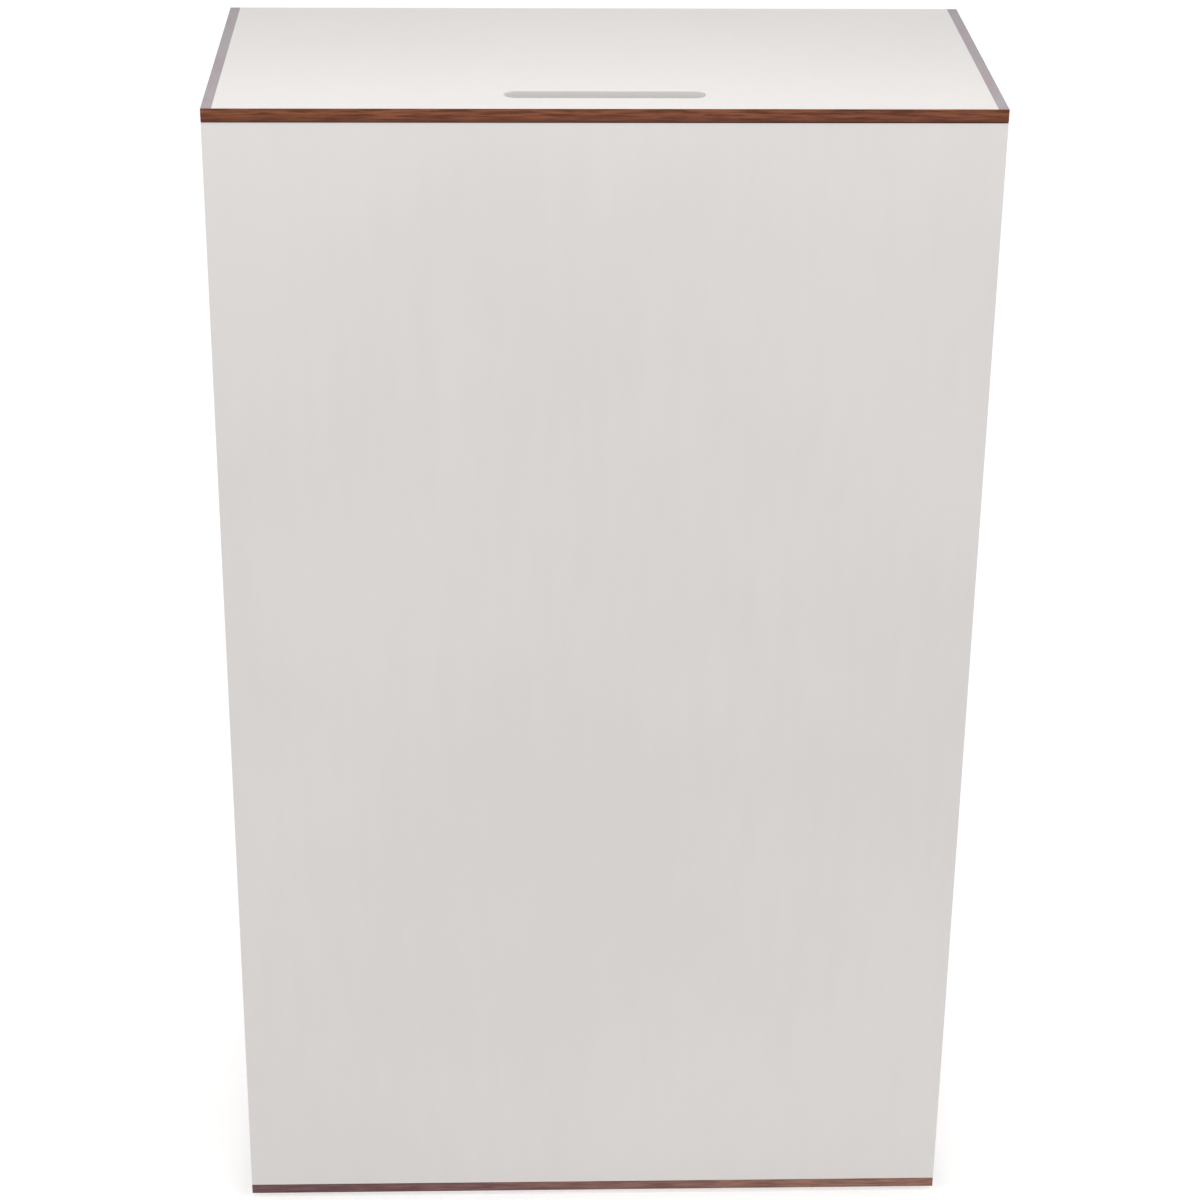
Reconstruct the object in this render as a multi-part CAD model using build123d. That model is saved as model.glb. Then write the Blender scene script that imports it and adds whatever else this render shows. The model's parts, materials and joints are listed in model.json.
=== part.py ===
from build123d import *
import math
import os

os.makedirs("parts", exist_ok=True)

# A book drop box: a tall lacquered plywood case with a hinged lid, lid stays and a sprung platform.
# Millimetres. X is the width, the front faces -Y, +Z is up, and the feet stand on z = 0.

# ---------------------------------------------------------------- case
width = 600.0
depth = 288.0
panel_height = 962.0
board_t = 9.0
batten = 15.0
rail_height = 30.0
foot_height = 4.0
foot_r = 12.0
foot_inset = 40.0

# ---------------------------------------------------------------- lid
lid_overhang = 0.5
lipping_w = 8.0
band_t = 1.0
band_drop = 0.8
slot_length = 152.0
slot_width = 18.0
slot_set_back = 38.0
bumper_r = 3.5

# ---------------------------------------------------------------- piano hinge
leaf_t = 0.75
leaf_gap = 0.1
leaf_width = 20.0
leaf_length = 567.0
knuckle_count = 27
pin_r = 1.5
pin_fit = 0.05
knuckle_wall = 0.8
knuckle_gap = 0.3

# ---------------------------------------------------------------- lid stays
stay_low_forward = 45.0
stay_low_down = 110.0
stay_high_forward = 130.0
stay_high_down = 8.0
stay_open_deg = 95.0
bar_t = 2.0
bar_half = 7.0
bar_gap = 0.3
stud_r = 3.0
stud_fit = 0.05
stud_head_r = 5.5
stud_head_t = 1.2
lug_r = 2.0
lug_reach = 20.0
tab_flange_t = 1.5

# ---------------------------------------------------------------- platform and its guides
platform_top = 575.0
platform_travel = 400.0
mat_t = 3.0
mat_inset = 4.0
platform_clear = 3.0
channel_w = 22.0
channel_d = 12.0
channel_wall = 1.6
channel_mouth = 10.0
slide_fit = 0.2
slide_height = 60.0
cap_height = 14.0
stop_gap = 0.3
bracket_t = 2.5
bracket_reach = 37.0
bracket_w = 50.0

# ---------------------------------------------------------------- springs
wire_r = 2.5
coil_r = 67.5
coil_turns = 12
seat_r = 74.0
seat_t = 2.0
seat_collar_r = 62.0
seat_collar_h = 8.0
seat_gap = 0.3

# ---------------------------------------------------------------- screws
screw_fit = 0.05
long_screw = (20.0, 1.75, 3.5)
short_screw = (8.0, 1.5, 2.8)

# ---------------------------------------------------------------- derived planes
lid_gap = 2 * leaf_t + leaf_gap
knuckle_r = pin_r + pin_fit + knuckle_wall
y_front = lid_overhang - (lid_overhang + depth + knuckle_gap + 2 * knuckle_r) / 2
y_back = y_front + depth
y_axis = y_back + knuckle_gap + knuckle_r
y_lid = y_front - lid_overhang
x_out = width / 2
x_in = x_out - board_t
y_in_front = y_front + board_t
y_in_back = y_back - board_t
y_mid = (y_in_front + y_in_back) / 2
half_in = (y_in_back - y_in_front) / 2
z_base = foot_height
z_floor = z_base + board_t
z_top = z_floor + panel_height
z_axis = z_top + leaf_t + leaf_gap / 2
z_lid = z_top + lid_gap
z_lid_top = z_lid + board_t
z_platform = platform_top - mat_t - board_t

parts = {}
screws = {}
holes = []


def block(x0, x1, y0, y1, z0, z1):
    """A square block between two corners."""
    return Pos((x0 + x1) / 2, (y0 + y1) / 2, (z0 + z1) / 2) * Box(x1 - x0, y1 - y0, z1 - z0)


def rod(radius, start, end):
    """A round bar between two points."""
    a = Vector(*start)
    b = Vector(*end)
    span = b - a
    bar = Cylinder(radius, span.length, align=(Align.CENTER, Align.CENTER, Align.MIN))
    return Plane(origin=a, z_dir=span).location * bar


def both_sides(name, right):
    """Keep the right-hand piece and its mirror image."""
    parts[name + "_right"] = right
    parts[name + "_left"] = mirror(right, about=Plane.YZ)


def screw_body(size, grow):
    """A countersunk screw along +Z with its head's face on z = 0."""
    length, shank, head = size
    drop = head - shank
    outline = Polyline(
        (0, 0, 0),
        (head + grow, 0, 0),
        (shank + grow, 0, drop),
        (shank + grow, 0, length - 2),
        (0.3 + grow, 0, length + grow),
        (0, 0, length + grow),
        close=True,
    )
    return revolve(Plane.XZ * make_face(Plane.XZ.to_local_coords(outline)), Axis.Z)


bodies = {size: (screw_body(size, 0), screw_body(size, screw_fit)) for size in (long_screw, short_screw)}


def drive(group, size, points, direction):
    """Put one screw and its hole at each point, heading along the direction."""
    for point in points:
        where = Plane(origin=point, z_dir=direction).location
        screws.setdefault(group, []).append(where * bodies[size][0])
        holes.append(where * bodies[size][1])


def drilled(shape):
    """Cut every screw hole that reaches the shape."""
    own = shape.bounding_box()
    near = []
    for hole in holes:
        box = hole.bounding_box()
        apart = (
            box.min.X > own.max.X or box.max.X < own.min.X
            or box.min.Y > own.max.Y or box.max.Y < own.min.Y
            or box.min.Z > own.max.Z or box.max.Z < own.min.Z
        )
        if not apart:
            near.append(hole)
    return shape - near if near else shape


def at_hinge(forward, down):
    """The y and z of a point measured forward and down from the lid hinge's axis."""
    return y_axis - forward, z_axis - down


# ================================================================ case boards
parts["front_panel"] = block(-x_out, x_out, y_front, y_in_front, z_floor, z_top)
parts["back_panel"] = block(-x_out, x_out, y_in_back, y_back, z_floor, z_top)
both_sides("panel", block(x_in, x_out, y_in_front, y_in_back, z_floor, z_top))
parts["base_board"] = block(-x_out, x_out, y_front + band_t, y_back, z_base, z_floor)
parts["base_edge_band"] = block(-x_out, x_out, y_front, y_front + band_t, z_base, z_floor)

z_cleat = z_floor + batten
z_rail = z_top - rail_height
parts["cleat_front"] = block(-x_in, x_in, y_in_front, y_in_front + batten, z_floor, z_cleat)
parts["cleat_back"] = block(-x_in, x_in, y_in_back - batten, y_in_back, z_floor, z_cleat)
both_sides("cleat", block(x_in - batten, x_in, y_in_front + batten, y_in_back - batten, z_floor, z_cleat))
parts["front_rail"] = block(-x_in, x_in, y_in_front, y_in_front + batten, z_rail, z_top)
parts["hinge_rail"] = block(-x_in, x_in, y_in_back - batten, y_in_back, z_rail, z_top)
both_sides("batten_front", block(x_in - batten, x_in, y_in_front, y_in_front + batten, z_cleat, z_rail))
both_sides("batten_back", block(x_in - batten, x_in, y_in_back - batten, y_in_back, z_cleat, z_rail))

# Screws pull each batten, cleat and rail to the boards from inside, so no head shows outside.
step = (z_rail - z_cleat) / 6
across = [-0.42 * width, -0.14 * width, 0.14 * width, 0.42 * width]
for side in (-1, 1):
    x_face = side * (x_in - batten)
    x_core = side * (x_in - batten / 2)
    for y_wall, inward in ((y_in_front, 1), (y_in_back, -1)):
        y_core = y_wall + inward * batten / 2
        y_face = y_wall + inward * batten
        heights = [z_cleat + step * n for n in (1, 3, 5)]
        drive("carcass_screws", long_screw, [(x_face, y_core, z) for z in heights], (side, 0, 0))
        drive("carcass_screws", long_screw, [(x_core, y_face, z + 30) for z in heights], (0, -inward, 0))
    spots = [(x_face, y_mid + d * half_in * 0.5, z_floor + batten / 2) for d in (-1, 1)]
    drive("carcass_screws", long_screw, spots, (side, 0, 0))
    spots = [(x_core, y_mid + d * half_in * 0.25, z_base) for d in (-1, 1)]
    drive("carcass_screws", long_screw, spots, (0, 0, 1))
for y_wall, inward in ((y_in_front, 1), (y_in_back, -1)):
    y_face = y_wall + inward * batten
    y_core = y_wall + inward * batten / 2
    drive("carcass_screws", long_screw, [(x, y_face, z_floor + batten / 2) for x in across], (0, -inward, 0))
    drive("carcass_screws", long_screw, [(x * 0.85, y_core, z_base) for x in across], (0, 0, 1))
    drive("carcass_screws", long_screw, [(x, y_face, z_rail + rail_height / 3) for x in across], (0, -inward, 0))

# Four rubber feet, each with a recess that keeps its screw head off the floor.
recess = 1.5
for side, hand in ((-1, "left"), (1, "right")):
    for y_foot, end in ((y_front + foot_inset, "front"), (y_back - foot_inset, "back")):
        x_foot = side * (x_out - foot_inset)
        foot = rod(foot_r, (x_foot, y_foot, 0), (x_foot, y_foot, foot_height))
        dish = rod(short_screw[2] + 1, (x_foot, y_foot, -1), (x_foot, y_foot, recess))
        parts["foot_" + end + "_" + hand] = foot - dish
        drive("fitting_screws", short_screw, [(x_foot, y_foot, recess)], (0, 0, 1))

# ================================================================ lid
# A veneer band covers the front edges of the board and both lippings, and hides half the hinge gap.
y_board = y_lid + band_t
parts["lid_edge_band"] = block(-x_out, x_out, y_lid, y_board, z_lid - band_drop, z_lid_top)
lid = block(-x_out + lipping_w, x_out - lipping_w, y_board, y_back, z_lid, z_lid_top)
opening = Pos(0, y_lid + slot_set_back, z_lid - 1) * extrude(SlotOverall(slot_length, slot_width), board_t + 2)
parts["lid_board"] = lid - opening
both_sides("lid_lipping", block(x_out - lipping_w, x_out, y_board, y_back, z_lid, z_lid_top))

pads = []
for side in (-1, 1):
    for x, y in ((0.34 * width, y_in_front + batten / 2), (x_out - board_t / 2, y_mid - half_in / 3)):
        pads.append(rod(bumper_r, (side * x, y, z_top), (side * x, y, z_lid - leaf_gap)))
parts["lid_bumpers"] = Compound(children=pads)

# ================================================================ piano hinge
pitch = leaf_length / knuckle_count
bore = rod(pin_r + pin_fit, (-x_out, y_axis, z_axis), (x_out, y_axis, z_axis))


def hinge_leaf(first, z0, z1):
    """A leaf under or over the hinge axis, with every second knuckle from the first."""
    leaf = block(-leaf_length / 2, leaf_length / 2, y_back - leaf_width, y_back, z0, z1)
    for n in range(first, knuckle_count, 2):
        x0 = -leaf_length / 2 + n * pitch + knuckle_gap / 2
        x1 = x0 + pitch - knuckle_gap
        leaf += block(x0, x1, y_back - 1, y_axis, z0, z1)
        leaf += rod(knuckle_r, (x0, y_axis, z_axis), (x1, y_axis, z_axis))
    return leaf - bore


parts["hinge_leaf_body"] = hinge_leaf(0, z_top, z_top + leaf_t)
parts["hinge_leaf_lid"] = hinge_leaf(1, z_lid - leaf_t, z_lid)
parts["hinge_pin"] = rod(pin_r, (-leaf_length / 2 - 1, y_axis, z_axis), (leaf_length / 2 + 1, y_axis, z_axis))
y_leaf_screw = y_back - leaf_width + 5
hinge_x = [leaf_length * f for f in (-0.45, -0.3, -0.15, 0, 0.15, 0.3, 0.45)]
drive("hinge_screws", short_screw, [(x, y_leaf_screw, z_top + leaf_t) for x in hinge_x], (0, 0, -1))
lid_x = [leaf_length * f for f in (-0.42, -0.27, -0.12, 0.12, 0.27, 0.42)]
drive("lid_screws", short_screw, [(x, y_leaf_screw, z_lid - leaf_t) for x in lid_x], (0, 0, 1))

# ================================================================ lid stays
# The hinge axis, the two stay pivots and the elbow are the corners of a parallelogram.
low_y, low_z = at_hinge(stay_low_forward, stay_low_down)
high_y, high_z = at_hinge(stay_high_forward, stay_high_down)
elbow_y, elbow_z = at_hinge(stay_low_forward + stay_high_forward, stay_low_down + stay_high_down)
plate_x = x_in - bar_t
lower_x = plate_x - bar_gap - bar_t
upper_x = lower_x - bar_gap - bar_t


def bar(x0, start, end, overrun):
    """A round-ended flat bar in a YZ plane, from one pivot to past the next."""
    a = Vector(0, *start)
    b = Vector(0, *end)
    run = (b - a).normalized()
    tip = b + run * overrun
    middle = (a + tip) / 2
    plane = Plane(origin=(x0, middle.Y, middle.Z), x_dir=run, z_dir=(1, 0, 0))
    return extrude(plane * SlotCenterToCenter((tip - a).length, 2 * bar_half), bar_t)


def pivot_hole(y, z):
    """The running hole for a pivot stud."""
    return rod(stud_r + stud_fit, (0, y, z), (x_out, y, z))


# The stop lug stands where the upper bar's edge arrives when the lid is fully open.
run = Vector(0, elbow_y - low_y, elbow_z - low_z).normalized()
closed_turn = Vector(0, high_y - elbow_y, high_z - elbow_z).normalized()
open_turn = closed_turn.rotate(Axis.X, stay_open_deg)
edge_side = open_turn.rotate(Axis.X, 90)
lug = Vector(0, elbow_y, elbow_z) + open_turn * lug_reach + edge_side * (bar_half + lug_r + bar_gap)
lug_along = (lug - Vector(0, elbow_y, elbow_z)).dot(run)

lower = bar(lower_x, (low_y, low_z), (elbow_y, elbow_z), lug_along)
lower += rod(lug_r, (lower_x + bar_t, lug.Y, lug.Z), (upper_x, lug.Y, lug.Z))
lower -= pivot_hole(low_y, low_z)
lower -= pivot_hole(elbow_y, elbow_z)
both_sides("stay_lower", lower)
upper = bar(upper_x, (high_y, high_z), (elbow_y, elbow_z), 0)
both_sides("stay_upper", upper - pivot_hole(high_y, high_z) - pivot_hole(elbow_y, elbow_z))

elbow = rod(stud_r, (upper_x - bar_gap, elbow_y, elbow_z), (lower_x + bar_t, elbow_y, elbow_z))
for x0 in (upper_x - bar_gap - stud_head_t, lower_x + bar_t):
    elbow += rod(stud_head_r, (x0, elbow_y, elbow_z), (x0 + stud_head_t, elbow_y, elbow_z))
both_sides("stay_elbow", elbow)

bracket = block(plate_x, x_in, low_y - 13, low_y + 13, low_z - 27, low_z + 27)
bracket += rod(stud_r, (plate_x, low_y, low_z), (lower_x - bar_gap, low_y, low_z))
x_head = lower_x - bar_gap - stud_head_t
bracket += rod(stud_head_r, (x_head, low_y, low_z), (x_head + stud_head_t, low_y, low_z))
both_sides("stay_bracket", bracket)

tab = block(upper_x - 24, lower_x + bar_t, high_y - 24, high_y + 24, z_lid - tab_flange_t, z_lid)
tab += block(lower_x, lower_x + bar_t, high_y - 8, high_y + 8, high_z, z_lid)
tab += rod(8, (lower_x, high_y, high_z), (lower_x + bar_t, high_y, high_z))
tab += rod(stud_r, (lower_x, high_y, high_z), (upper_x - bar_gap, high_y, high_z))
x_head = upper_x - bar_gap - stud_head_t
tab += rod(stud_head_r, (x_head, high_y, high_z), (x_head + stud_head_t, high_y, high_z))
both_sides("stay_tab", tab)
for side in (-1, 1):
    spots = [(side * plate_x, low_y, low_z + d) for d in (-19, 19)]
    drive("fitting_screws", short_screw, spots, (side, 0, 0))
    spots = [(side * (upper_x - 14), high_y + d, z_lid - tab_flange_t) for d in (-17, 17)]
    drive("lid_screws", short_screw, spots, (0, 0, 1))

# ================================================================ platform guides
channel_x = x_in - channel_d
rail_low = z_cleat + 4
rail_high = z_platform - 1
half_w = channel_w / 2
channel = block(channel_x, x_in, y_mid - half_w, y_mid + half_w, rail_low, rail_high)
hollow_half = half_w - channel_wall
channel -= block(
    channel_x + channel_wall, x_in - channel_wall, y_mid - hollow_half, y_mid + hollow_half,
    rail_low - 1, rail_high + 1,
)
mouth_half = channel_mouth / 2
channel -= block(
    channel_x - 1, x_in - channel_wall - 1, y_mid - mouth_half, y_mid + mouth_half,
    rail_low - 1, rail_high + 1,
)
both_sides("guide_rail", channel)


def slider(x_neck, z0, z1):
    """A T-shaped nylon piece that runs in the channel, its neck reaching out to a given x."""
    wide = hollow_half - slide_fit
    neck = mouth_half - slide_fit
    x0 = channel_x + channel_wall + slide_fit
    core = block(x0, x_in - channel_wall - slide_fit, y_mid - wide, y_mid + wide, z0, z1)
    return core + block(x_neck, x0 + 1, y_mid - neck, y_mid + neck, z0, z1)


bracket_x = channel_x - 2
cap_low = rail_high - cap_height
both_sides("guide_cap", slider(channel_x, cap_low, rail_high))
slide_high = cap_low - stop_gap
both_sides("slide_block", slider(bracket_x, slide_high - slide_height, slide_high))

hanger = block(
    bracket_x - bracket_t, bracket_x, y_mid - bracket_w / 2, y_mid + bracket_w / 2,
    slide_high - slide_height, z_platform,
)
x_flange = bracket_x - bracket_reach
hanger += block(
    x_flange, bracket_x, y_mid - bracket_w / 2, y_mid + bracket_w / 2, z_platform - bracket_t, z_platform,
)
both_sides("platform_bracket", hanger)

rail_run = rail_high - rail_low
x_web = x_in - channel_wall
for side in (-1, 1):
    spots = [(side * x_web, y_mid, rail_low + rail_run * f) for f in (0.04, 0.34, 0.64, 0.94)]
    drive("fitting_screws", short_screw, spots, (side, 0, 0))
    spots = [(side * (bracket_x - bracket_t), y_mid, slide_high - d) for d in (15, slide_height - 15)]
    drive("platform_screws", short_screw, spots, (side, 0, 0))
    spots = [(side * (x_flange + 12), y_mid + d, z_platform - bracket_t) for d in (-17, 17)]
    drive("platform_screws", short_screw, spots, (0, 0, 1))


# ================================================================ platform
def platform_plate(inset, z0, z1):
    """A plate that clears the walls, the corner battens and the guide rails."""
    reach_x = x_in - platform_clear - inset
    reach_y = half_in - platform_clear - inset
    plate = block(-reach_x, reach_x, y_mid - reach_y, y_mid + reach_y, z0, z1)
    corner_x = x_in - batten - platform_clear - inset
    corner_y = half_in - batten - platform_clear - inset
    rail_x = channel_x - platform_clear - inset
    rail_y = half_w + platform_clear + inset
    for side in (-1, 1):
        xs = sorted((side * rail_x, side * x_in))
        plate -= block(xs[0], xs[1], y_mid - rail_y, y_mid + rail_y, z0 - 1, z1 + 1)
        xs = sorted((side * corner_x, side * x_in))
        for end in (-1, 1):
            ys = sorted((y_mid + end * corner_y, y_mid + end * half_in))
            plate -= block(xs[0], xs[1], ys[0], ys[1], z0 - 1, z1 + 1)
    return plate


parts["platform_board"] = platform_plate(0, z_platform, z_platform + board_t)
parts["platform_mat"] = platform_plate(mat_inset, z_platform + board_t, platform_top)

# ================================================================ springs and seats
spring_x = 0.58 * x_flange


def seat(x, z_board, up):
    """A pressed dish that centres one end of a spring, screwed to the board at z_board."""
    z_face = z_board + up * seat_t
    z_rim = z_face + up * seat_collar_h
    dish = rod(seat_r, (x, y_mid, z_board), (x, y_mid, z_face))
    dish += rod(seat_collar_r, (x, y_mid, z_face), (x, y_mid, z_rim))
    return dish - rod(seat_collar_r - seat_t, (x, y_mid, z_face), (x, y_mid, z_rim + up))


both_sides("seat_lower", seat(spring_x, z_floor, 1))
both_sides("seat_upper", seat(spring_x, z_platform, -1))
for side in (-1, 1):
    for n in range(3):
        turn = math.radians(90 + 120 * n)
        x = side * spring_x + 35 * math.cos(turn)
        y = y_mid + 35 * math.sin(turn)
        drive("fitting_screws", short_screw, [(x, y, z_floor + seat_t)], (0, 0, -1))
        drive("platform_screws", short_screw, [(x, y, z_platform - seat_t)], (0, 0, 1))

spring_low = z_floor + seat_t + seat_gap
spring_high = z_platform - seat_t - seat_gap


def spring(x):
    """A plain-ended compression spring."""
    low = spring_low + wire_r
    height = spring_high - spring_low - 2 * wire_r
    path = Helix(pitch=height / coil_turns, height=height, radius=coil_r, center=(x, y_mid, low))
    return sweep((path ^ 0) * Circle(wire_r), path=path, is_frenet=True)


# ================================================================ write every piece
for name, shape in parts.items():
    export_step(drilled(shape), "parts/" + name + ".step")
for side, hand in ((-1, "left"), (1, "right")):
    export_step(spring(side * spring_x), "parts/spring_" + hand + ".step")
for name, solids in screws.items():
    export_step(Compound(children=solids), "parts/" + name + ".step")
print(len(parts) + 2 + len(screws), "pieces written")
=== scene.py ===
# %% [markdown]
# # A library book drop box
#
# The box is a tall white plywood case with a flat lid. The lid lifts on a piano hinge, and books land
# on a platform that sinks on two long springs. The CAD model already holds every board, bracket and
# screw in its true place, so this lesson is about finish: how lacquer, cut plywood, zinc, nylon and
# rubber look, and how to light a white object so that its edges still read.

import json
import math

import bmesh
import bpy
from mathutils import Euler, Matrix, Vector


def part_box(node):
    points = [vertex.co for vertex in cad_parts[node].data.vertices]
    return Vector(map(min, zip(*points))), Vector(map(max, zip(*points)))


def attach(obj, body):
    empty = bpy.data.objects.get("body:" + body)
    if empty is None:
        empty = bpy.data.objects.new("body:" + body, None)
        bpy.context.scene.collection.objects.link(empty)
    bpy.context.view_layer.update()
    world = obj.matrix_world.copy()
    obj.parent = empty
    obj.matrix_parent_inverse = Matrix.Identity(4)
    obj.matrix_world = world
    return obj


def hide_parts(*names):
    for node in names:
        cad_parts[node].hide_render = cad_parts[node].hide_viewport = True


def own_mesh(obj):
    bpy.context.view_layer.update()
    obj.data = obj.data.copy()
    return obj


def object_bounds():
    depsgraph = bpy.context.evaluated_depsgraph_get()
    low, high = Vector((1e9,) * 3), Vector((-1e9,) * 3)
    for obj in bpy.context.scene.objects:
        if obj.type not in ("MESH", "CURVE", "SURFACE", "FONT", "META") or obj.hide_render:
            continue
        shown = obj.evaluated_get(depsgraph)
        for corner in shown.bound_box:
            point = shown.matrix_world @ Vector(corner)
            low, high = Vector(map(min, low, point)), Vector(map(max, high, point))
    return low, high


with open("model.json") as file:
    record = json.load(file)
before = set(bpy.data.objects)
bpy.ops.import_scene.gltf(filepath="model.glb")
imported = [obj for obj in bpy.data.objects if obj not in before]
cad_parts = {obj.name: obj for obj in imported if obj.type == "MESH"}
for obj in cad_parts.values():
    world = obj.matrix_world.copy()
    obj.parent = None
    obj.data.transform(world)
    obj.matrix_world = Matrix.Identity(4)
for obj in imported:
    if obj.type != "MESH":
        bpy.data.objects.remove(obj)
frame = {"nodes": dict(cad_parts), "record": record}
cad_low, cad_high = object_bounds()
print("size in metres:", [round(v, 4) for v in cad_high - cad_low])

# %% [markdown]
# ## The eye
#
# A camera is a place, a direction and a lens. Here the eye is that of a standing adult, a little to
# the left of the box and 2.2 m in front of it, looking down at 26 degrees. A long lens keeps the tall
# sides nearly parallel, and they still close in towards the floor as they do for a real viewer.

# %% Put the camera at eye height
eye = Vector((-0.0801, -2.3130, 1.6307))
look_down = math.radians(25.817)
look_right = math.radians(2.102)
head_tilt = math.radians(0.677)

camera = bpy.data.objects.new("eye", bpy.data.cameras.new("eye"))
bpy.context.collection.objects.link(camera)
camera.location = eye
aim = Euler((math.pi / 2 - look_down, 0, -look_right)).to_matrix()
camera.rotation_euler = (aim @ Euler((0, 0, head_tilt)).to_matrix()).to_euler()
camera.data.sensor_width = 36
camera.data.lens = 90.46
bpy.context.scene.camera = camera
print("the eye is", round(eye.z, 2), "m above the floor")

# %% [markdown]
# ## Arithmetic on shader sockets
#
# A procedural finish is mostly sums: a mask times a tint, one minus a stripe. Blender builds such sums
# from Math nodes. Wiring them by hand hides the idea, so a small class wraps one socket and turns each
# Python operator into its node. Colours and vectors keep their own nodes, because a Math node would
# turn them grey.

# %% A socket that can be added and multiplied
class Wire:
    """One output socket. Arithmetic on it adds Math nodes to its finish."""

    def __init__(self, finish, socket):
        self.finish = finish
        self.socket = socket

    def _sum(self, operation, first, second):
        return self.finish.node("ShaderNodeMath", {"operation": operation}, {0: first, 1: second})

    def __add__(self, other):
        return self._sum("ADD", self, other)

    def __radd__(self, other):
        return self._sum("ADD", other, self)

    def __sub__(self, other):
        return self._sum("SUBTRACT", self, other)

    def __rsub__(self, other):
        return self._sum("SUBTRACT", other, self)

    def __mul__(self, other):
        return self._sum("MULTIPLY", self, other)

    def __rmul__(self, other):
        return self._sum("MULTIPLY", other, self)

    def __truediv__(self, other):
        return self._sum("DIVIDE", self, other)

    def __mod__(self, other):
        return self._sum("FLOORED_MODULO", self, other)

    def __gt__(self, other):
        return self._sum("GREATER_THAN", self, other)

    def __lt__(self, other):
        return self._sum("LESS_THAN", self, other)

    def __abs__(self):
        return self._sum("ABSOLUTE", self, 0)


# %% [markdown]
# ## A finish
#
# Every material in this scene starts from the same few things: where a point is on the piece, which
# way its face looks, and some noise at a chosen real size. The class below offers these, and every
# other node comes from its one `node` method. Numbers that never change are set on the shader itself.

# %% Build a finish from nodes
def paint(red, green, blue):
    """A screen colour from 0 to 255 as the linear colour a shader needs."""
    shares = [v / 255 for v in (red, green, blue)]
    linear = [v / 12.92 if v <= 0.04045 else ((v + 0.055) / 1.055) ** 2.4 for v in shares]
    return (*linear, 1)


class Finish:
    """One material, with helpers for its node tree."""

    def __init__(self, name, **constants):
        self.material = bpy.data.materials.new(name)
        self.material.use_nodes = True
        self.tree = self.material.node_tree
        self.shader = self.tree.nodes["Principled BSDF"]
        for socket, value in constants.items():
            self.shader.inputs[socket.replace("_", " ")].default_value = value

    def node(self, kind, settings=None, inputs=None, output=0):
        """Any node: its settings first, then a value or a wire for each socket."""
        made = self.tree.nodes.new(kind)
        for key, value in (settings or {}).items():
            setattr(made, key, value)
        for key, value in (inputs or {}).items():
            if isinstance(value, Wire):
                self.tree.links.new(value.socket, made.inputs[key])
            else:
                made.inputs[key].default_value = value
        return Wire(self, made.outputs[output])

    def place(self):
        """Where the point is on the piece, in metres, as three wires."""
        where = self.node("ShaderNodeTexCoord", output="Object")
        return [self.node("ShaderNodeSeparateXYZ", {}, {0: where}, n) for n in range(3)]

    def facing(self):
        """Which way the face looks, along X, Y and Z, without its sign."""
        way = self.node("ShaderNodeTexCoord", output="Normal")
        return [abs(self.node("ShaderNodeSeparateXYZ", {}, {0: way}, n)) for n in range(3)]

    def cut_edge(self, thin):
        """1 on the cut edges of a board that is thin along an axis, 0 on its two faces."""
        return self.between(self.facing()[thin], 0.75, 0.6)

    def noise(self, size, detail=2, roughness=0.5, shift=0.0):
        """Soft noise whose patches are size = (x, y, z) metres."""
        where = self.node("ShaderNodeTexCoord", output="Object")
        scaled = self.node(
            "ShaderNodeVectorMath", {"operation": "MULTIPLY_ADD"},
            {0: where, 1: [1 / s for s in size], 2: (shift, shift, shift)},
        )
        return self.node(
            "ShaderNodeTexNoise", {},
            {"Vector": scaled, "Scale": 1, "Detail": detail, "Roughness": roughness},
        )

    def between(self, value, low, high):
        """0 below low, 1 above high, and a soft step between."""
        return self.node(
            "ShaderNodeMapRange", {"interpolation_type": "SMOOTHSTEP"},
            {"Value": value, "From Min": low, "From Max": high},
        )

    def mix(self, share, first, second, blend="MIX"):
        """Two colours mixed by a share."""
        settings = {"data_type": "RGBA", "blend_type": blend}
        return self.node("ShaderNodeMix", settings, {0: share, 6: first, 7: second}, 2)

    def feed(self, **wires):
        """Link wires to the shader's own sockets."""
        for socket, wire in wires.items():
            self.tree.links.new(wire.socket, self.shader.inputs[socket.replace("_", " ")])

    def bump(self, height, depth):
        """Relief of depth metres where height goes from 0 to 1."""
        self.feed(Normal=self.node("ShaderNodeBump", {}, {"Height": height, "Distance": depth}))


print("a finish can now be written as arithmetic")

# %% [markdown]
# ## Painted plywood
#
# The boards are 9 mm plywood, lacquered white on both faces and left bare on the cut edges, where the
# thin plies show as reddish brown stripes. One material does both: the face's direction says whether a
# point is on a face or on a cut edge. Painting a picture of the edge would need a map for every board,
# while this reads the position, so each stripe is as thick as a real ply.
#
# The walls of the lid's slot are cut edges too, but they are sealed and painted white, so the mask leaves
# out the small area around the slot. Their white is brighter than the lacquer: painted light that lifts the
# shade inside the slot. The lacquer is brushed on, so its white keeps faint upright streaks on top of a slow
# cloud, and a fine orange peel in its relief.

# %% White lacquer over brown plies
lacquer_white = paint(215.5, 211.5, 209)
lacquer_shade = paint(212.5, 208, 206)
# A white brighter than the lacquer for the slot's walls: painted light where the slot lies in shade.
sealed_white_painted_light = paint(243, 242, 240)
plies = 7
ply_red = paint(122, 68, 46)
ply_dark = paint(82, 45, 30)
ply_light = paint(142, 90, 66)


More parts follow.
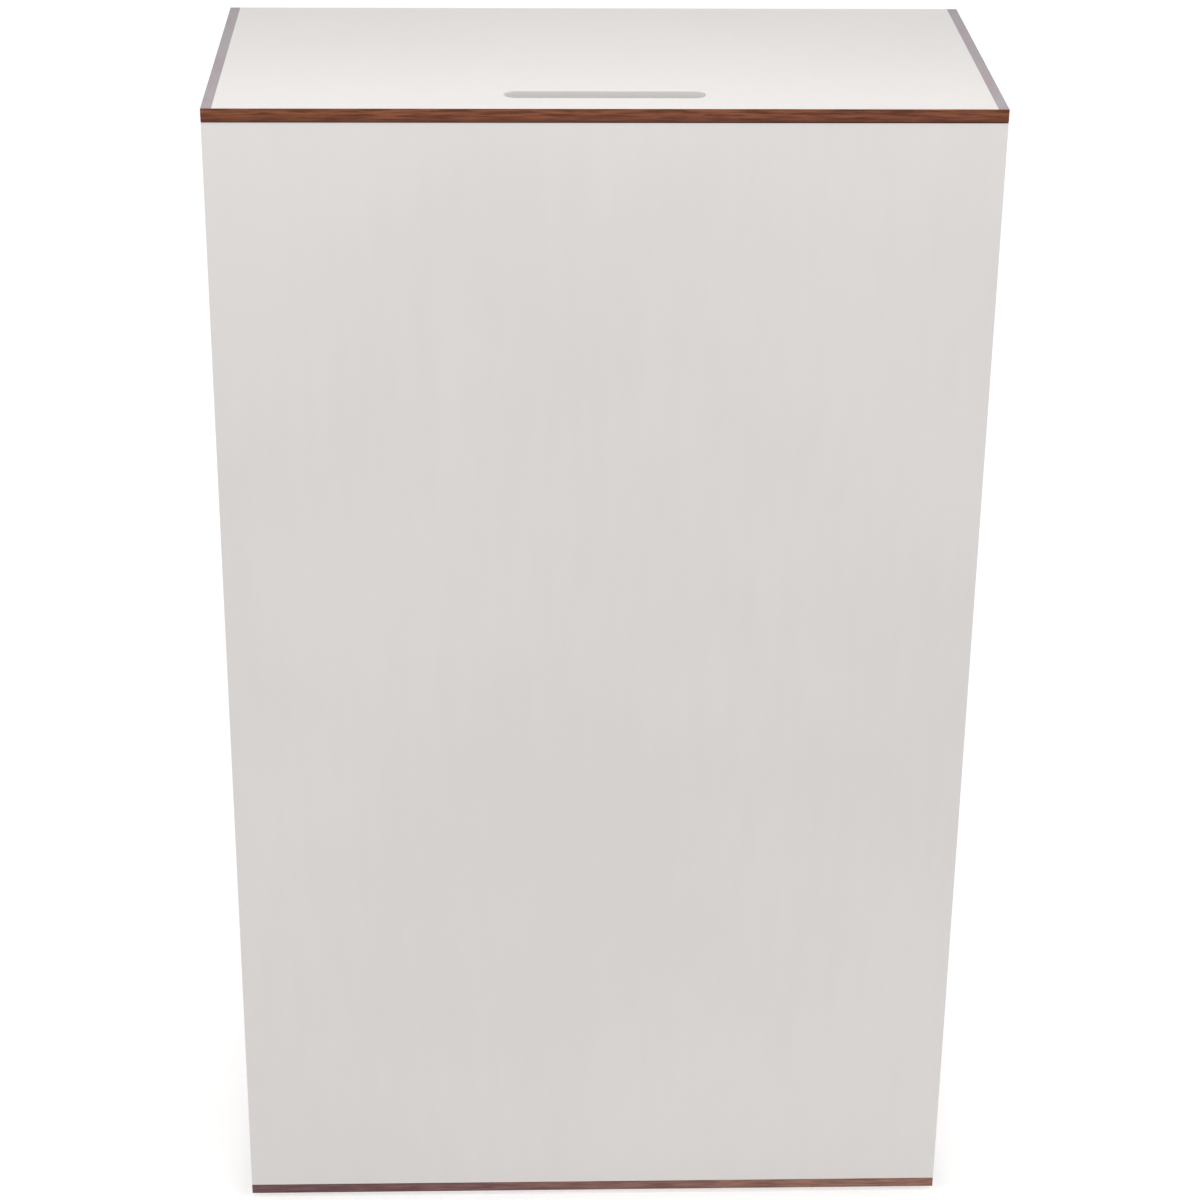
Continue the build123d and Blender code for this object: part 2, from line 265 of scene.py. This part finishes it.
def plywood(name, thin, low, high, sealed_slot_painted_light=None):
    """Lacquered plywood that is thin along one axis, from low to high metres on it."""
    finish = Finish(name, Coat_Roughness=0.22, Specular_IOR_Level=0.4)
    where = finish.place()
    through = (where[thin] - low) / (high - low)
    edge = finish.cut_edge(thin)

    fine = [0.03, 0.03, 0.03]
    fine[thin] = 0.0007
    grain = finish.noise(fine, detail=4, roughness=0.62)
    broad = [0.11, 0.11, 0.11]
    broad[thin] = 0.004
    streak = finish.noise(broad, detail=2, shift=7.3)
    count = through * plies
    cross = (count % 2) > 1
    glue = finish.between(abs(count % 1 - 0.5), 0.42, 0.5)
    wood = finish.mix(finish.between(grain, 0.3, 0.72), ply_dark, ply_light)
    wood = finish.mix(0.45, wood, ply_red)
    wood = finish.mix(finish.between(streak, 0.35, 0.7) * 0.35, wood, ply_dark)
    wood = finish.mix(cross * 0.5, wood, ply_red, "MULTIPLY")
    wood = finish.mix(glue * 0.6, wood, ply_dark)

    cloud = finish.noise((0.3, 0.3, 0.3), detail=2)
    brushed = finish.noise((0.016, 0.016, 0.11), detail=3, roughness=0.6)
    cloudy = finish.between(0.72 * cloud + 0.28 * brushed, 0.36, 0.64)
    white = finish.mix(cloudy, lacquer_shade, lacquer_white)
    # The slot's walls take the brighter white: painted light in place of the slot's shade.
    if sealed_slot_painted_light:
        middle, reach_x, reach_y = sealed_slot_painted_light
        wall = edge * (abs(where[0]) < reach_x) * (abs(where[1] - middle) < reach_y)
        white = finish.mix(wall, white, sealed_white_painted_light)
        edge = edge * (1 - wall)
    peel = finish.noise((0.0026, 0.0026, 0.0026), detail=1)
    finish.feed(
        Base_Color=finish.mix(edge, white, wood),
        Roughness=0.34 + 0.1 * cloud + edge * (0.1 + 0.2 * grain),
        Coat_Weight=0.25 - 0.15 * edge,
    )
    finish.bump(peel * 0.00003 * (1 - edge) + grain * 0.00012 * edge, 1.0)
    return finish.material


def dress(node, material):
    """Give a CAD piece its finish."""
    piece = frame["nodes"][node]
    piece.data.materials.clear()
    piece.data.materials.append(material)
    return piece


def soften(piece, width, steps=2):
    """Round a piece's sharp arrises a little, as sanding does."""
    bevel = piece.modifiers.new("arris", "BEVEL")
    bevel.width = width
    bevel.segments = steps
    bevel.limit_method = "ANGLE"
    bevel.angle_limit = math.radians(40)
    bevel.harden_normals = False


arris = 0.0005
slot_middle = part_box("lid_edge_band")[0][1] + 0.038
slot_reach = (0.08, 0.012)
thin_axis = {
    "front_panel": 1, "back_panel": 1, "panel_left": 0, "panel_right": 0,
    "lid_board": 2, "base_board": 2,
}
for node, thin in thin_axis.items():
    low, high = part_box(node)
    slot = (slot_middle, *slot_reach) if node == "lid_board" else None
    soften(dress(node, plywood(node + "_finish", thin, low[thin], high[thin], slot)), arris)
    print(node, "is", round((high[thin] - low[thin]) * 1000, 1), "mm thick")

# %% [markdown]
# ## Veneer bands and lippings
#
# The front edges of the lid and of the base are covered with a thin band of reddish veneer. Its grain
# runs along the band, so the figure is noise stretched twenty times along X: broad patches for the
# change from early to late wood, fine streaks for the pores. Each band is darker along its lower edge:
# painted shade, strongest on the lid's band, above the gap under the lid. The base's band is greyer
# than the lid's, and darker and more mauve towards its left end.
#
# A solid strip is glued down each side of the lid. Its top is painted a greyed mauve, a painted reflection
# of light glancing off its lacquer, and its other faces are the same red wood.

# %% Two bands of veneer
def figure(finish, along, patch=0.032, across=0.0021):
    """Wood figure from 0 to 1, with its grain along one axis."""
    broad = [across] * 3
    broad[along] = patch
    fine = [across / 4] * 3
    fine[along] = patch / 2
    patches = finish.noise(broad, detail=3, roughness=0.6, shift=11.7)
    streaks = finish.noise(fine, detail=3, roughness=0.6)
    return finish.between(0.62 * patches + 0.38 * streaks, 0.36, 0.63), streaks


def veneer(name, dark, light, painted_foot_shade, node):
    """A band of veneer whose tones run from the left pair to the right pair."""
    finish = Finish(name, Specular_IOR_Level=0.25)
    low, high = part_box(node)
    where = finish.place()
    share, streaks = figure(finish, 0)
    along = finish.between(where[0], low[0], high[0])
    wood = finish.mix(share, finish.mix(along, *dark), finish.mix(along, *light))
    # The lower edge of the band is darkened: painted shade along its foot.
    foot = finish.between(where[2], low[2] + 0.0042, low[2] + 0.0004)
    wood = finish.mix(foot * painted_foot_shade, wood, finish.mix(along, *dark))
    finish.feed(Base_Color=wood, Roughness=0.4 + 0.18 * streaks)
    finish.bump(streaks, 0.0001)
    return finish.material


lid_dark = (paint(84, 38, 17), paint(82, 37, 18))
lid_light = (paint(132, 76, 48), paint(130, 75, 50))
base_dark = (paint(88, 58, 62), paint(115, 77, 66))
base_light = (paint(118, 85, 84), paint(156, 116, 99))
thin_arris = 0.0003
# The numbers 0.6 and 0.2 set how strong the painted shade along each band's lower edge is.
lid_veneer = veneer("lid_veneer", lid_dark, lid_light, 0.6, "lid_edge_band")
base_veneer = veneer("base_veneer", base_dark, base_light, 0.2, "base_edge_band")
soften(dress("lid_edge_band", lid_veneer), thin_arris)
soften(dress("base_edge_band", base_veneer), thin_arris)
print("two bands of veneer laid")


# %% Strips with a painted sheen on top and reddish sides
def lipping_finish():
    finish = Finish("lipping_finish", Coat_Weight=0.2, Coat_Roughness=0.3)
    share, streaks = figure(finish, 1)
    wood = finish.mix(share, ply_dark, ply_light)
    slow = finish.noise((0.03, 0.045, 0.03), detail=2, shift=3.1)
    # The greyed mauve stands in for light glancing off the lacquer: a painted reflection on the top faces.
    painted_sheen = finish.mix(finish.between(slow, 0.35, 0.65), paint(152, 137, 143), paint(154, 147, 149))
    painted_sheen = finish.mix(streaks * 0.3, painted_sheen, paint(136, 122, 129))
    # Only the faces that look up take the painted reflection.
    top = finish.between(finish.facing()[2], 0.6, 0.75)
    finish.feed(Base_Color=finish.mix(top, wood, painted_sheen), Roughness=0.42 + 0.15 * streaks)
    finish.bump(streaks, 0.00008)
    return finish.material


strip = lipping_finish()
for side in ("left", "right"):
    soften(dress("lid_lipping_" + side, strip), arris)
print("bands and lippings dressed")

# %% [markdown]
# ## Inside: softwood, bare plywood and metal
#
# The battens are planed softwood, with pale and amber bands along their length. Which way the length
# runs is read from each piece's own box, so one function serves them all.

# %% Planed softwood
def softwood(name, along):
    finish = Finish(name, Specular_IOR_Level=0.3)
    long = [0.006, 0.006, 0.006]
    long[along] = 0.35
    bands = finish.noise(long, detail=2, roughness=0.4)
    hair = [0.0006, 0.0006, 0.0006]
    hair[along] = 0.02
    fibre = finish.noise(hair, detail=2)
    colour = finish.mix(finish.between(bands, 0.35, 0.65), paint(226, 200, 158), paint(203, 166, 117))
    colour = finish.mix(fibre * 0.25, colour, paint(184, 146, 100))
    finish.feed(Base_Color=colour, Roughness=0.55 + 0.2 * fibre)
    finish.bump(fibre, 0.00006)
    return finish.material


timber = [softwood("softwood_" + "xyz"[n], n) for n in range(3)]
for node in frame["nodes"]:
    if node.startswith(("batten", "cleat")) or node in ("front_rail", "hinge_rail"):
        low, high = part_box(node)
        size = [high[n] - low[n] for n in range(3)]
        soften(dress(node, timber[size.index(max(size))]), 0.0008)
print("softwood pieces dressed")


# %% Bare birch plywood for the platform
def birch():
    finish = Finish("birch_ply", Specular_IOR_Level=0.3)
    low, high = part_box("platform_board")
    where = finish.place()
    count = (where[2] - low[2]) / (high[2] - low[2]) * plies
    edge = finish.cut_edge(2)
    figure = finish.noise((0.18, 0.012, 0.05), detail=3, roughness=0.55)
    pores = finish.noise((0.012, 0.0006, 0.0006), detail=2)
    face = finish.mix(finish.between(figure, 0.3, 0.7), paint(222, 196, 156), paint(205, 172, 126))
    face = finish.mix(pores * 0.2, face, paint(176, 138, 96))
    stripe = finish.mix((count % 2) > 1, paint(214, 184, 140), paint(158, 118, 80))
    finish.feed(Base_Color=finish.mix(edge, face, stripe), Roughness=0.6 + 0.15 * pores)
    finish.bump(pores, 0.00005)
    return finish.material


soften(dress("platform_board", birch()), arris)

# %% [markdown]
# ## Metal, nylon and rubber
#
# Zinc plate is bright but not a mirror: tiny crystals change how rough it is from spot to spot.
# Rolled aluminium carries fine lines along its length. Nylon is milky and waxy, and rubber is matt with
# a trace of bloom.

# %% Plated, rolled and moulded finishes
def zinc(name="zinc_plate", tint=(188, 190, 194), rough=0.3):
    finish = Finish(name, Metallic=1.0)
    spangle = finish.noise((0.009, 0.009, 0.009), detail=2)
    fine = finish.noise((0.0005, 0.0005, 0.0005), detail=1)
    dull = [v * 0.93 for v in tint]
    finish.feed(
        Base_Color=finish.mix(finish.between(spangle, 0.35, 0.65), paint(*dull), paint(*tint)),
        Roughness=rough + 0.08 * spangle + 0.05 * fine,
    )
    finish.bump(fine, 0.00002)
    return finish.material


def rolled_aluminium():
    finish = Finish("rolled_aluminium", Metallic=1.0)
    lines = finish.noise((0.0003, 0.0003, 0.09), detail=2)
    finish.feed(
        Base_Color=finish.mix(lines, paint(196, 198, 202), paint(220, 221, 223)),
        Roughness=0.32 + 0.14 * lines,
    )
    finish.bump(lines, 0.00003)
    return finish.material


def nylon():
    finish = Finish("natural_nylon", Subsurface_Weight=0.15, Subsurface_Scale=0.003)
    mottle = finish.noise((0.01, 0.01, 0.01), detail=2)
    finish.feed(
        Base_Color=finish.mix(mottle, paint(232, 230, 220), paint(241, 240, 233)),
        Roughness=0.4 + 0.12 * mottle,
    )
    finish.bump(finish.noise((0.0008, 0.0008, 0.0008), detail=1), 0.00003)
    return finish.material


def rubber(name, tint):
    finish = Finish(name, Specular_IOR_Level=0.35)
    bloom = finish.noise((0.03, 0.03, 0.03), detail=3, roughness=0.6)
    pebble = finish.noise((0.0007, 0.0007, 0.0007), detail=2)
    pale = [v + 14 for v in tint]
    finish.feed(
        Base_Color=finish.mix(finish.between(bloom, 0.4, 0.75) * 0.6, paint(*tint), paint(*pale)),
        Roughness=0.62 + 0.2 * pebble,
    )
    finish.bump(pebble, 0.00008)
    return finish.material


plate = zinc()
screw_metal = zinc("screw_zinc", (206, 200, 182), 0.26)
rail_metal = rolled_aluminium()
slide_nylon = nylon()
black_rubber = rubber("black_rubber", (34, 34, 36))
for node, piece in frame["nodes"].items():
    if node.startswith(("hinge_leaf", "hinge_pin", "stay_", "seat_", "platform_bracket")):
        soften(dress(node, plate), 0.0002, 1)
    elif node.startswith("guide_rail"):
        dress(node, rail_metal)
    elif node.startswith(("guide_cap", "slide_block")):
        soften(dress(node, slide_nylon), 0.0005)
    elif node.startswith("foot_") or node == "lid_bumpers":
        soften(dress(node, black_rubber), 0.0004)
print("metal, nylon and rubber dressed")

# %% [markdown]
# ## Pieces that replace a plain CAD shape
#
# Three kinds of CAD piece are true in size but plain in shape: the mat, the springs and the screws.
# Each gets a detailed mesh here that stands for the CAD node and rides on the same body.

# %% A helper for detailed pieces
def mesh_piece(name, vertices, faces, material, slot, body, *nodes):
    """A new piece that stands for CAD nodes and rides on a body."""
    mesh = bpy.data.meshes.new(name)
    mesh.from_pydata(vertices, [], faces)
    mesh.materials.append(material)
    piece = bpy.data.objects.new(name, mesh)
    bpy.context.collection.objects.link(piece)
    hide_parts(*nodes)
    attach(piece, body)
    return piece


# %% [markdown]
# ## The ribbed platform mat
#
# Books slide on bare wood, so the platform carries a rubber mat with fine ribs along X. The CAD plate
# is notched for the battens and the guide rails, so its own corner points say how far the mat reaches
# in each stretch of y. The mat is laid row by row, with ten rows to a rib, and a stretch that is
# wider than its neighbour gets a small wall at the step. The result is one closed skin.

# %% Lay the mat row by row
def mat_stretches(node):
    """Stretches of y, each with how far the mat reaches along x there."""
    mesh = frame["nodes"][node].data
    corner, rail, full = sorted({round(v.co.x, 5) for v in mesh.vertices if v.co.x > 0})
    ys = sorted({round(v.co.y, 5) for v in mesh.vertices})
    return list(zip(ys, ys[1:], [corner, full, rail, full, corner]))


def ribbed_mat(node, pitch=0.008, rib=0.0016, steps=10):
    low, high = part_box(node)
    stretches = mat_stretches(node)
    made = bmesh.new()
    points = {}

    def point(x, y, z):
        key = (round(x, 6), round(y, 6), round(z, 6))
        if key not in points:
            points[key] = made.verts.new(key)
        return points[key]

    def row(y, z, reach):
        """The points across the mat at y, out to reach and at any step that lies inside it."""
        steps_here = {r for y0, y1, r in stretches if y in (y0, y1) and r <= reach} | {reach}
        return [point(x, y, z) for x in sorted([-r for r in steps_here] + list(steps_here))]

    def wall(y, inner, outer):
        """A wall at y, from inner to outer on both sides."""
        top = high[2] - rib
        for side in (-1, 1):
            ends = [(side * inner, top), (side * outer, top), (side * outer, low[2]), (side * inner, low[2])]
            made.faces.new([point(x, y, z) for x, z in ends])

    for y0, y1, reach in stretches:
        count = max(1, round((y1 - y0) / pitch)) * steps
        rows = []
        for n in range(count + 1):
            swell = abs(math.sin(math.pi * (n % steps) / steps)) ** 0.7
            y = y1 if n == count else y0 + (y1 - y0) * n / count
            rows.append((row(y, high[2] - rib * (1 - swell), reach), row(y, low[2], reach)))
        for (top, bottom), (next_top, next_bottom) in zip(rows, rows[1:]):
            made.faces.new(top + next_top[::-1])
            made.faces.new(bottom + next_bottom[::-1])
            for end in (0, -1):
                made.faces.new((top[end], next_top[end], next_bottom[end], bottom[end]))
    for (y0, y, first), (y, y1, second) in zip(stretches, stretches[1:]):
        wall(y, min(first, second), max(first, second))
    for y, reach in ((stretches[0][0], stretches[0][2]), (stretches[-1][1], stretches[-1][2])):
        ends = [(-reach, high[2] - rib), (reach, high[2] - rib), (reach, low[2]), (-reach, low[2])]
        made.faces.new([point(x, y, z) for x, z in ends])
    bmesh.ops.recalc_face_normals(made, faces=made.faces)
    open_edges = sum(not edge.is_manifold for edge in made.edges)
    made.verts.index_update()
    shape = [v.co.copy() for v in made.verts], [[v.index for v in f.verts] for f in made.faces]
    made.free()
    return *shape, open_edges


vertices, faces, open_edges = ribbed_mat("platform_mat")
mat_rubber = rubber("mat_rubber", (58, 62, 68))
mesh_piece("ribbed_mat", vertices, faces, mat_rubber, "ribbed_rubber", "platform", "platform_mat")
print("the mat has", len(faces), "faces and", open_edges, "open edges")

# %% [markdown]
# ## Screws with a cross recess
#
# Every screw in the CAD model is a plain countersunk body. Its size and place can be read back from
# the mesh: the long way of each loose body is the screw's axis, and the wide end is its head. A head
# is drawn as a ring of faces around a plus sign, and the plus sign is sunk with sloping walls.

# %% Find every screw in a node
def loose_bodies(node):
    """The points of each separate body in a CAD node."""
    made = bmesh.new()
    made.from_mesh(frame["nodes"][node].data)
    bmesh.ops.remove_doubles(made, verts=made.verts, dist=1e-6)
    left = set(made.verts)
    bodies = []
    while left:
        front = [left.pop()]
        found = []
        while front:
            point = front.pop()
            found.append(point.co.copy())
            for edge in point.link_edges:
                other = edge.other_vert(point)
                if other in left:
                    left.remove(other)
                    front.append(other)
        bodies.append(found)
    made.free()
    return bodies


def screw_place(points):
    """Head centre, direction, length and head radius of one screw."""
    low = Vector([min(p[n] for p in points) for n in range(3)])
    high = Vector([max(p[n] for p in points) for n in range(3)])
    size = high - low
    axis = max(range(3), key=lambda n: size[n])
    middle = (low + high) / 2
    radius = sorted(size)[1] / 2
    across = [n for n in range(3) if n != axis]
    wide = [p[axis] for p in points if math.hypot(*[p[n] - middle[n] for n in across]) > 0.9 * radius]
    head = sum(wide) / len(wide)
    direction = Vector((0, 0, 0))
    direction[axis] = 1 if head < middle[axis] else -1
    middle[axis] = low[axis] if head < middle[axis] else high[axis]
    return middle, direction, size[axis], radius


# %% Draw a countersunk screw
def screw_mesh(length, head, around=24):
    """A screw along +Z with its head's face on z = 0."""
    made = bmesh.new()
    arm, slot, depth = head * 0.62, head * 0.17, head * 0.5
    shank = head * 0.52
    ring = [(math.cos(2 * math.pi * n / around), math.sin(2 * math.pi * n / around)) for n in range(around)]
    profile = [(head, 0), (head, 0.0001), (shank, head - shank), (shank, length - 0.002), (0.0003, length)]
    rows = [[made.verts.new((r * c, r * s, z)) for c, s in ring] for r, z in profile]
    for first, second in zip(rows, rows[1:]):
        for n in range(around):
            after = (n + 1) % around
            made.faces.new((first[n], first[after], second[after], second[n]))
    made.faces.new(rows[-1])
    plus = [
        (slot, slot), (slot, arm), (-slot, arm), (-slot, slot), (-arm, slot), (-arm, -slot),
        (-slot, -slot), (-slot, -arm), (slot, -arm), (slot, -slot), (arm, -slot), (arm, slot),
    ]
    rim = [made.verts.new((x, y, 0)) for x, y in plus]
    floor = [made.verts.new((x * 0.6, y * 0.6, depth)) for x, y in plus]
    size = len(plus)
    for n in range(size):
        after = (n + 1) % size
        made.faces.new((rim[n], floor[n], floor[after], rim[after]))
    made.faces.new(floor)
    edges = [made.edges.get((rim[n], rim[(n + 1) % size])) for n in range(size)]
    edges += [made.edges.get((rows[0][n], rows[0][(n + 1) % around])) for n in range(around)]
    bmesh.ops.triangle_fill(made, edges=edges, use_beauty=True)
    bmesh.ops.recalc_face_normals(made, faces=made.faces)
    made.verts.index_update()
    shape = [v.co.copy() for v in made.verts], [[v.index for v in f.verts] for f in made.faces]
    made.free()
    return shape


def drive_screws(node, body):
    """Draw every screw of a node as one piece, each head turned its own way."""
    vertices = []
    faces = []
    for number, points in enumerate(loose_bodies(node)):
        place, direction, length, head = screw_place(points)
        turn = direction.to_track_quat("Z", "Y").to_matrix() @ Euler((0, 0, number * 2.4)).to_matrix()
        shape, cells = screw_mesh(length, head)
        start = len(vertices)
        vertices += [place + turn @ p for p in shape]
        faces += [[start + n for n in cell] for cell in cells]
    piece = mesh_piece("crosshead_" + node, vertices, faces, screw_metal, "zinc_steel", body, node)
    print(node, "has", number + 1, "screws")
    return piece


screw_bodies = {
    "carcass_screws": "case", "fitting_screws": "case", "hinge_screws": "case",
    "lid_screws": "lid", "platform_screws": "platform",
}
for node, body in screw_bodies.items():
    drive_screws(node, body)

# %% [markdown]
# ## The two long springs
#
# A spring is a wire on a helix. Sweeping a circle along the helix by hand gives an even mesh, with
# the end coils closed up and both ends on their seats.

# %% Wind the springs
def wind(node, turns=12, steps=40, around=12, wire=0.0025):
    """A compression spring with closed ends, inside its CAD node's box."""
    low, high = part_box(node)
    centre_x, centre_y = (low[0] + high[0]) / 2, (low[1] + high[1]) / 2
    radius = (high[0] - low[0]) / 2 - wire
    bottom, top = low[2] + wire, high[2] - wire
    closed = 2.1 * wire
    vertices = []
    faces = []
    count = turns * steps
    for n in range(count + 1):
        turn = n / steps
        angle = 2 * math.pi * turn
        middle = (turn - 1) / (turns - 2)
        height = bottom + closed + (top - bottom - 2 * closed) * middle
        if turn < 1:
            height = bottom + closed * turn
        if turn > turns - 1:
            height = top - closed * (turns - turn)
        out = Vector((math.cos(angle), math.sin(angle), 0))
        core = Vector((centre_x, centre_y, height)) + out * radius
        for k in range(around):
            lean = 2 * math.pi * k / around
            vertices.append(core + out * (wire * math.cos(lean)) + Vector((0, 0, wire * math.sin(lean))))
    for n in range(count):
        for k in range(around):
            a = n * around + k
            b = n * around + (k + 1) % around
            faces.append((a, a + around, b + around, b))
    faces.append(tuple(range(around)))
    faces.append(tuple(count * around + k for k in reversed(range(around))))
    return vertices, faces, low[2], high[2] - low[2]


spring_metal = zinc("oiled_spring_steel", (118, 120, 128), 0.34)
joints = frame["record"]["behaviour"]["joints"]
travel = -next(joint["range_m"][0] for joint in joints if joint["name"] == "platform_drop")
for side in ("left", "right"):
    node = "spring_" + side
    vertices, faces, seat, height = wind(node)
    coil = mesh_piece("coil_" + side, vertices, faces, spring_metal, "spring_steel", "case", node)
    for face in coil.data.polygons:
        face.use_smooth = True
    (height - travel) / height
    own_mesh(coil)
    print(node, "is", round(height * 1000), "mm tall at rest")


# %% [markdown]
# ## Floor and light
#
# White on white needs light with a direction. A broad screen in front lights the tall face evenly. A
# smaller lamp hangs just over the lid's front edge, so the top fades a little towards the hinge, which
# is what tells the two planes apart. The sky fills the rest.
#
# The floor glows a little, so that it stays white under the box, and a white wall stands at its rim.
# Only the eye sees that wall: it casts no light, no shadow and no reflection.

# %% Lay the floor
def studio_floor():
    glow = {"Emission_Color": (1, 1, 1, 1), "Emission_Strength": 0.32}
    finish = Finish("pale_floor", Roughness=0.9, Specular_IOR_Level=0.1, **glow)
    speckle = finish.noise((0.4, 0.4, 0.4), detail=2)
    finish.feed(Base_Color=finish.mix(speckle, paint(246, 246, 246), paint(249, 249, 249)))
    mesh = bpy.data.meshes.new("floor")
    reach = 30
    corners = [(-reach, -reach, 0), (reach, -reach, 0), (reach, reach, 0), (-reach, reach, 0)]
    mesh.from_pydata(corners, [], [(0, 1, 2, 3)])
    mesh.materials.append(finish.material)
    floor = bpy.data.objects.new("floor", mesh)
    floor.location.z = cad_low.z - 0.0002
    bpy.context.collection.objects.link(floor)


def backdrop(reach=29, height=14, panes=48):
    """A white wall around the floor that only the eye sees, so it adds no light."""
    finish = Finish("backdrop", Roughness=1.0, Emission_Color=(1, 1, 1, 1), Emission_Strength=1.0)
    tone = finish.noise((4, 4, 4), detail=1)
    finish.feed(Base_Color=finish.mix(tone, paint(244, 244, 244), paint(250, 250, 250)))
    angles = [2 * math.pi * n / panes for n in range(panes)]
    vertices = [(reach * math.cos(a), reach * math.sin(a), z) for z in (-0.1, height) for a in angles]
    faces = [(n, (n + 1) % panes, panes + (n + 1) % panes, panes + n) for n in range(panes)]
    mesh = bpy.data.meshes.new("backdrop")
    mesh.from_pydata(vertices, [], faces)
    mesh.materials.append(finish.material)
    wall = bpy.data.objects.new("backdrop", mesh)
    bpy.context.collection.objects.link(wall)
    wall.visible_diffuse = wall.visible_glossy = False
    wall.visible_transmission = wall.visible_shadow = False


studio_floor()
backdrop()


# %% Hang the lamps
def lamp(name, place, target, size, power, tint=(1, 1, 1)):
    light = bpy.data.lights.new(name, "AREA")
    light.shape = "RECTANGLE"
    light.size, light.size_y = size
    light.energy = power
    light.color = tint
    holder = bpy.data.objects.new(name, light)
    holder.location = place
    holder.rotation_euler = (Vector(target) - Vector(place)).to_track_quat("-Z", "Y").to_euler()
    holder.visible_camera = False
    bpy.context.collection.objects.link(holder)


sky_strength = 0.745
lamp("front_screen", (-0.9, -4.2, 1.9), (0, 0, 0.45), (4.5, 3.2), 4)
lamp("lid_lamp", (0, -0.27, 1.435), (0, -0.22, 0.98), (1.5, 0.12), 2.7, (0.98, 1, 0.985))
lamp("top_screen", (0.4, -0.6, 4.2), (0, 0, 0), (5, 5), 15)
world = bpy.data.worlds.new("sky")
world.use_nodes = True
sky = world.node_tree.nodes["Background"]
sky.inputs["Color"].default_value = (1, 1, 1, 1)
sky.inputs["Strength"].default_value = sky_strength
bpy.context.scene.world = world
bpy.context.scene.view_settings.view_transform = "Standard"
print("lamps hung")
